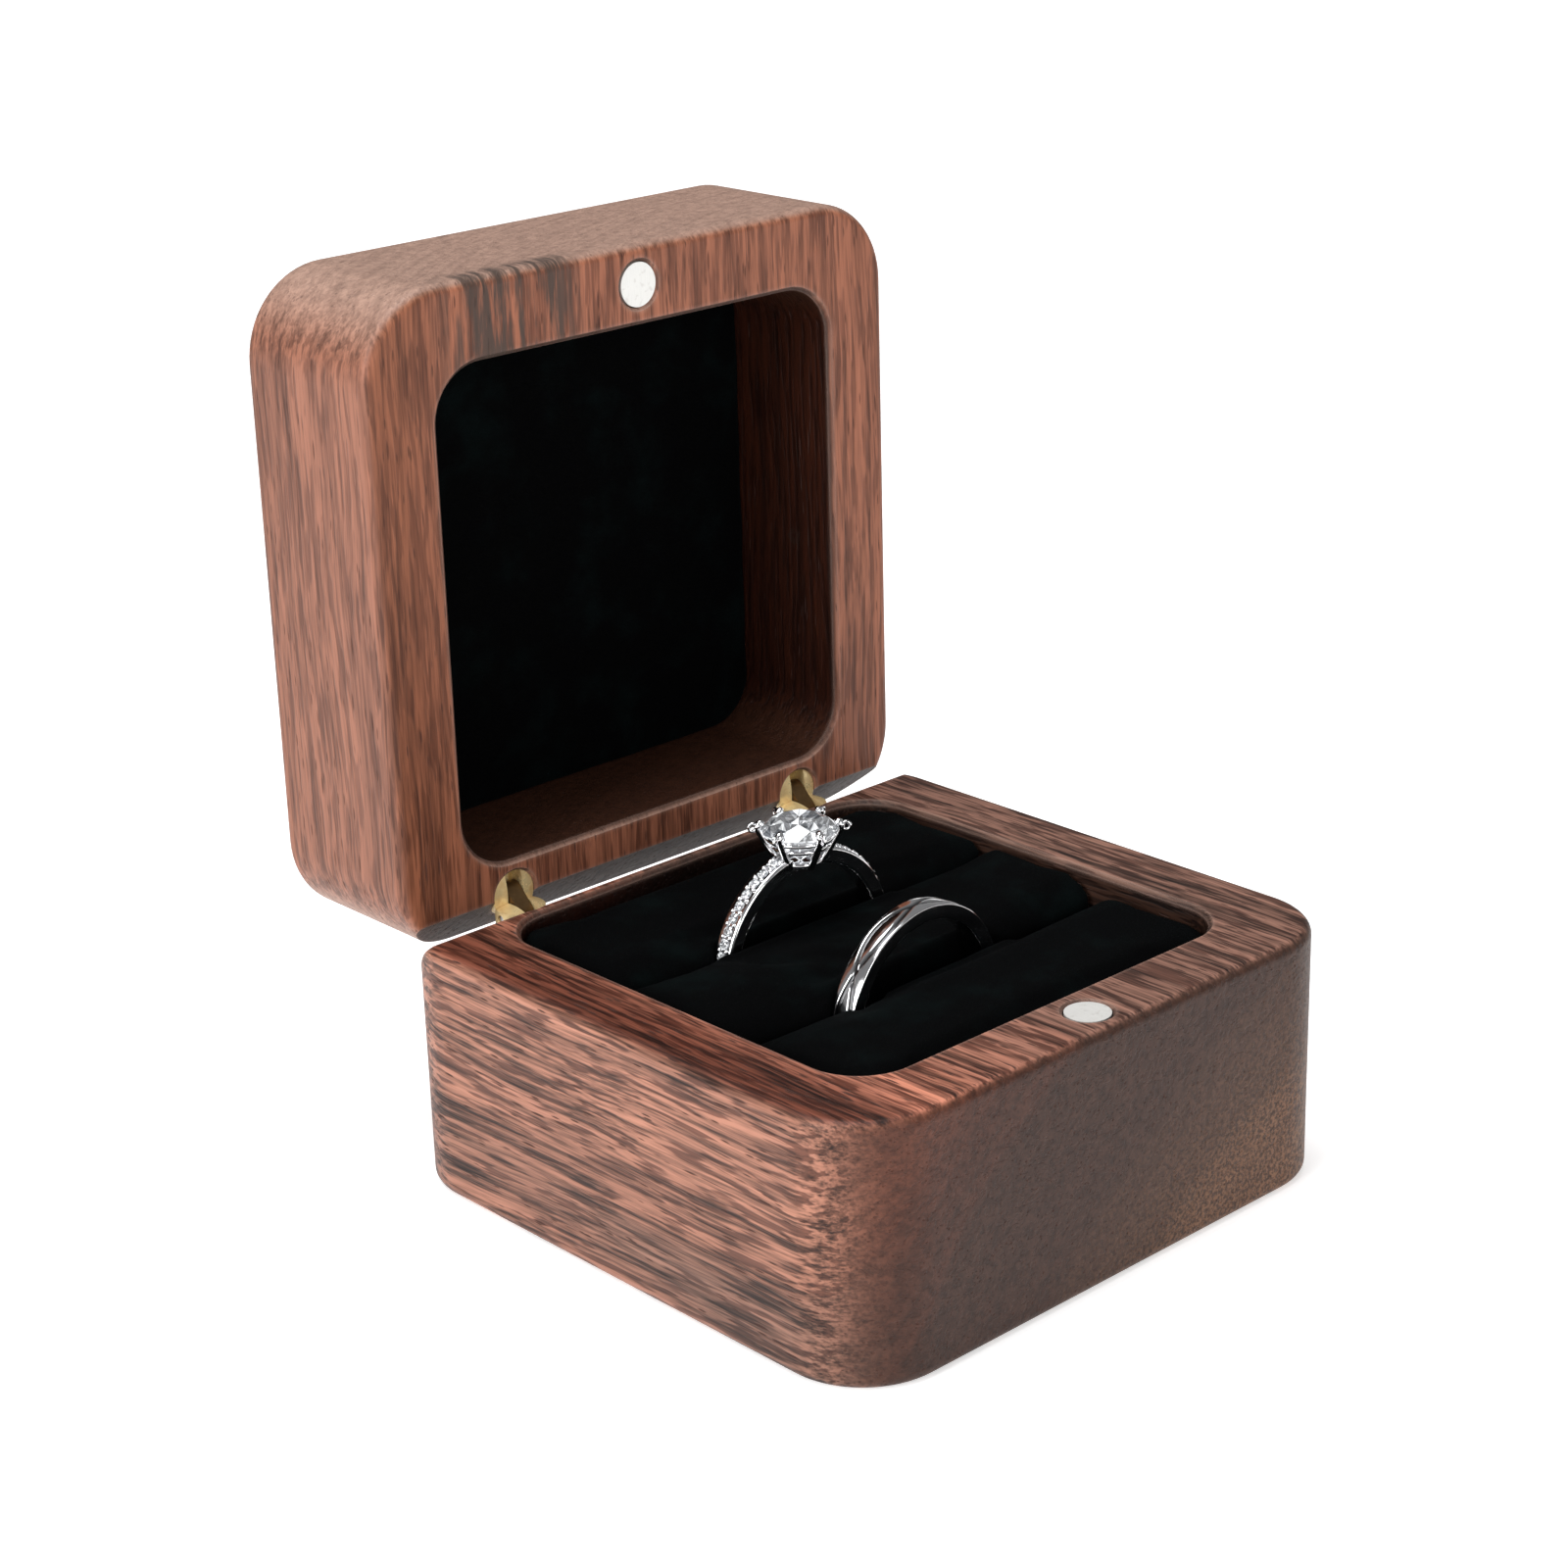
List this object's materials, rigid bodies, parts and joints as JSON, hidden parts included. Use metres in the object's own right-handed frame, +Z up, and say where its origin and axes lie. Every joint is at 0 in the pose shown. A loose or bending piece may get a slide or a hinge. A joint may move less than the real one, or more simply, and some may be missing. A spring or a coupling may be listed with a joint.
{
  "type": "ring box",
  "caption": "Small hollowed walnut box with a hinged magnetic lid, a black velvet cushion with ring slots, and a solitaire ring and wedding band standing in it.",
  "frame": {"origin": "centre of the base's underside", "axes": "+Z up from the table, the front of the box faces -Y, the hinges are along X at the rear (+Y), the lid stands open"},
  "size_m": [0.06, 0.0741, 0.0803],
  "materials": {
    "walnut": "satin oiled walnut",
    "nickel": "matt nickel plate",
    "brass": "turned brass",
    "steel": "drawn wire",
    "board": "plain grey board",
    "velvet": "black short-pile velvet",
    "white_gold": "polished rhodium plate",
    "diamond": "faceted clear stone"
  },
  "bodies": {
    "base": {"base_block": "walnut", "base_magnet": "nickel", "base_barrel_left": "brass", "base_barrel_right": "brass", "base_pin_left": "steel", "base_pin_right": "steel", "insert_card": "board", "cushion_front": "velvet", "cushion_middle": "velvet", "cushion_rear": "velvet"},
    "link_left": {"link_left": "brass"},
    "link_right": {"link_right": "brass"},
    "lid": {"lid_block": "walnut", "lid_magnet": "nickel", "lid_barrel_left": "brass", "lid_barrel_right": "brass", "lid_pin_left": "steel", "lid_pin_right": "steel", "lid_lining": "velvet"},
    "solitaire": {"solitaire_shank": "white_gold", "solitaire_head": "white_gold", "centre_stone": "diamond", "pave_stones": "diamond"},
    "band": {"wedding_band": "white_gold"}
  },
  "joints": [
    {"name": "lid_close", "type": "hinge", "parent": "base", "child": "link_left", "pos_m": [-0.0175, 0.0262, 0.0225], "axis": [1, 0, 0], "range_deg": [0, 45]},
    {"name": "right_link_turn", "type": "hinge", "parent": "base", "child": "link_right", "pos_m": [0.0175, 0.0262, 0.0225], "axis": [1, 0, 0], "range_deg": [0, 45]},
    {"name": "lid_turn", "type": "hinge", "parent": "link_left", "child": "lid", "pos_m": [-0.0175, 0.02778, 0.02408], "axis": [1, 0, 0], "range_deg": [0, 45]},
    {"name": "solitaire_lift", "type": "slide", "parent": "base", "child": "solitaire", "axis": [0, 0, 1], "range_m": [0, 0.004]},
    {"name": "band_lift", "type": "slide", "parent": "base", "child": "band", "axis": [0, 0, 1], "range_m": [0, 0.008]}
  ],
  "couplings": [
    {"joint": "right_link_turn", "follows": "lid_close", "ratio": 1},
    {"joint": "lid_turn", "follows": "lid_close", "ratio": 1}
  ]
}
